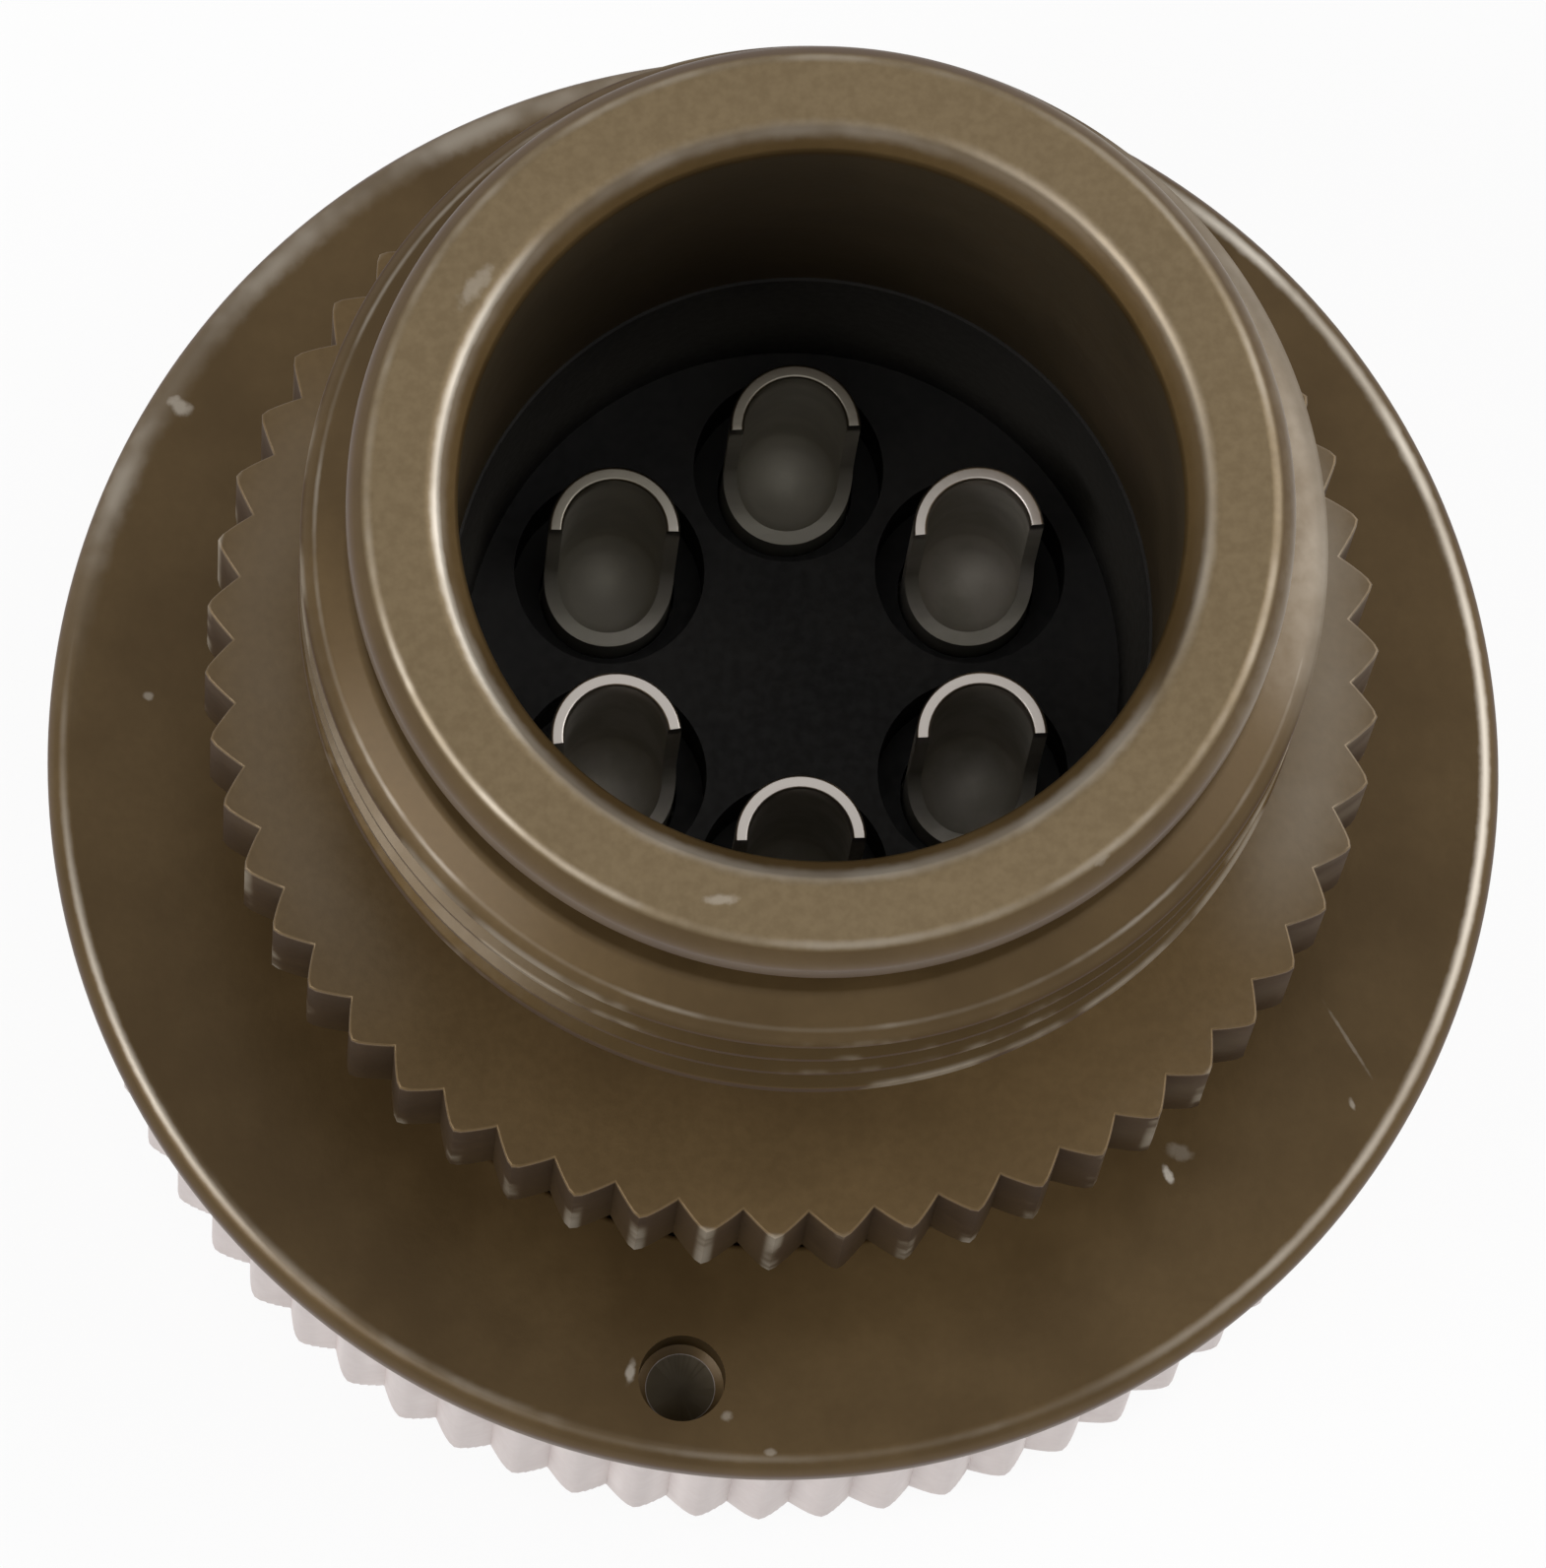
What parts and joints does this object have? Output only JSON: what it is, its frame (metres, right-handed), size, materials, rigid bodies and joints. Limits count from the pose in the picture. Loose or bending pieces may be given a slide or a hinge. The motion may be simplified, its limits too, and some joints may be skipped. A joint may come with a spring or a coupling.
{
  "type": "circular connector plug",
  "caption": "Round cable plug seen from its wiring end: threaded rear shell with a toothed shoulder, solder-cup contacts in a black insulator, and a free-turning knurled coupling ring.",
  "frame": {"origin": "on the axis, in the plane of the mating end that the plug stands on", "axes": "+Z along the axis from the mating end to the wiring end, +Y towards the keyway; the solder cups open towards -Y"},
  "size_m": [0.0286, 0.0286, 0.0316],
  "materials": {
    "olive_finish": "satin olive drab plating on aluminium, worn pale along the edges",
    "ring_finish": "pale satin metal",
    "insulator": "black moulded plastic",
    "contact_plating": "silver-plated copper alloy, slightly tarnished",
    "spring_steel": "bright spring steel",
    "seal_rubber": "black rubber"
  },
  "bodies": {
    "plug": {"shell": "olive_finish", "rear_insert": "insulator", "front_insert": "insulator", "contact_1": "contact_plating", "contact_2": "contact_plating", "contact_3": "contact_plating", "contact_4": "contact_plating", "contact_5": "contact_plating", "contact_6": "contact_plating", "insert_ring": "spring_steel", "nose_seal": "seal_rubber", "snap_ring": "spring_steel", "wave_washer": "spring_steel"},
    "washer": {"thrust_washer": "spring_steel"},
    "coupling": {"coupling_ring": "ring_finish", "rear_collar": "olive_finish"}
  },
  "joints": [
    {"name": "ring_slide", "type": "slide", "parent": "plug", "child": "washer", "axis": [0, 0, 1], "range_m": [0, 0.005]},
    {"name": "ring_turn", "type": "hinge", "parent": "washer", "child": "coupling", "pos_m": [0, 0, 0], "axis": [0, 0, 1], "continuous": true}
  ]
}
